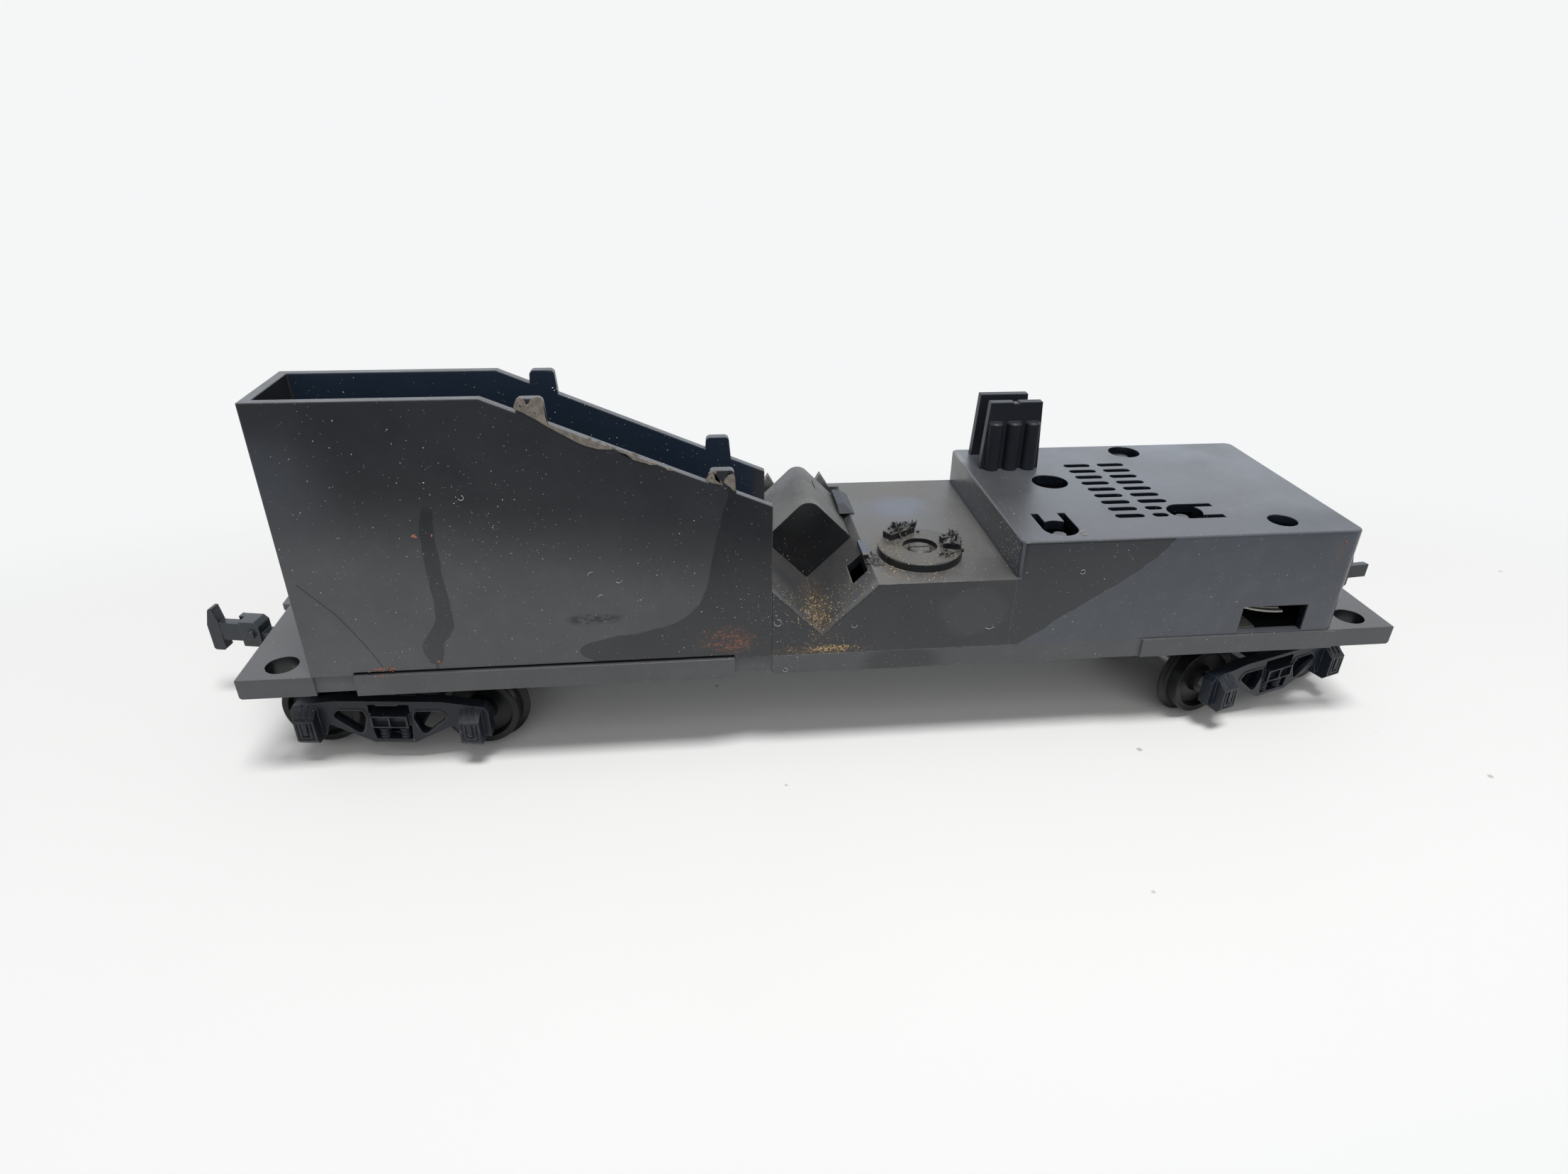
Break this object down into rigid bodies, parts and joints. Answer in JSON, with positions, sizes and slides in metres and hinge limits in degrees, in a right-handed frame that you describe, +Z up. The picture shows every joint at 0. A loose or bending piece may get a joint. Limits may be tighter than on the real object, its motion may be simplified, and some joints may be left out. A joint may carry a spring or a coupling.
{
  "type": "model railway wagon",
  "caption": "Black plastic scale-model railway wagon with a tall side bin, a V trough holding a square bar, a swivel disc, a vented housing, swivelling trucks and hook couplers.",
  "frame": {"origin": "on the floor under the wagon's centre, between the four wheelsets", "axes": "+X along the wagon from the bin end to the housing end, +Z up, -Y towards the side with the bin and the disc"},
  "size_m": [0.1702, 0.0344, 0.0484],
  "materials": {
    "body_plastic": "satin, dusty",
    "underframe_plastic": "satin",
    "block_plastic": "satin, dusty",
    "disc_plastic": "satin",
    "truck_plastic": "satin",
    "wheel_plastic": "semi-gloss",
    "coupler_plastic": "satin",
    "axle_steel": "dull",
    "ballast_steel": "dull",
    "spring_metal": "dull"
  },
  "bodies": {
    "car_body": {"underframe": "underframe_plastic", "end_brackets": "underframe_plastic", "body_shell": "body_plastic", "side_bin": "body_plastic", "housing_cover": "body_plastic", "latch_posts": "body_plastic", "guide_posts": "body_plastic", "trough_block": "block_plastic", "trough_lugs": "body_plastic", "disc_pin": "disc_plastic", "leaf_spring": "spring_metal", "ballast_weight": "ballast_steel", "kingpin_left": "underframe_plastic", "kingpin_right": "underframe_plastic"},
    "disc": {"swivel_disc": "disc_plastic"},
    "truck_left": {"truck_frame_left": "truck_plastic", "pocket_cover_left": "truck_plastic"},
    "coupler_arm_left": {"coupler_left": "coupler_plastic"},
    "wheelset_left_outer": {"axle_left_outer": "axle_steel", "wheels_left_outer": "wheel_plastic"},
    "wheelset_left_inner": {"axle_left_inner": "axle_steel", "wheels_left_inner": "wheel_plastic"},
    "truck_right": {"truck_frame_right": "truck_plastic", "pocket_cover_right": "truck_plastic"},
    "coupler_arm_right": {"coupler_right": "coupler_plastic"},
    "wheelset_right_outer": {"axle_right_outer": "axle_steel", "wheels_right_outer": "wheel_plastic"},
    "wheelset_right_inner": {"axle_right_inner": "axle_steel", "wheels_right_inner": "wheel_plastic"}
  },
  "joints": [
    {"name": "disc_swivel", "type": "hinge", "parent": "car_body", "child": "disc", "pos_m": [0.00975, -0.0082, 0.0249], "axis": [0, 0, 1], "continuous": true},
    {"name": "truck_left_swing", "type": "hinge", "parent": "car_body", "child": "truck_left", "pos_m": [-0.05605, 0, 0.0104], "axis": [0, 0, 1], "range_deg": [-19, 31]},
    {"name": "coupler_left_swing", "type": "hinge", "parent": "truck_left", "child": "coupler_arm_left", "pos_m": [-0.06779, 0.00123, 0.0101], "axis": [0, 0, 1], "range_deg": [-9, 19]},
    {"name": "wheelset_left_outer_spin", "type": "hinge", "parent": "truck_left", "child": "wheelset_left_outer", "pos_m": [-0.06619, 0.00107, 0.00585], "axis": [-0.1045, -0.9945, 0], "continuous": true},
    {"name": "wheelset_left_inner_spin", "type": "hinge", "parent": "truck_left", "child": "wheelset_left_inner", "pos_m": [-0.04591, -0.00107, 0.00585], "axis": [-0.1045, -0.9945, 0], "continuous": true},
    {"name": "truck_right_swing", "type": "hinge", "parent": "car_body", "child": "truck_right", "pos_m": [0.05695, 0, 0.0104], "axis": [0, 0, 1], "range_deg": [-43, 7]},
    {"name": "coupler_right_swing", "type": "hinge", "parent": "truck_right", "child": "coupler_arm_right", "pos_m": [0.06817, 0.00365, 0.0101], "axis": [0, 0, 1], "range_deg": [-12, 16]},
    {"name": "wheelset_right_outer_spin", "type": "hinge", "parent": "truck_right", "child": "wheelset_right_outer", "pos_m": [0.06665, 0.00315, 0.00585], "axis": [-0.309, 0.9511, 0], "continuous": true},
    {"name": "wheelset_right_inner_spin", "type": "hinge", "parent": "truck_right", "child": "wheelset_right_inner", "pos_m": [0.04725, -0.00315, 0.00585], "axis": [-0.309, 0.9511, 0], "continuous": true}
  ]
}
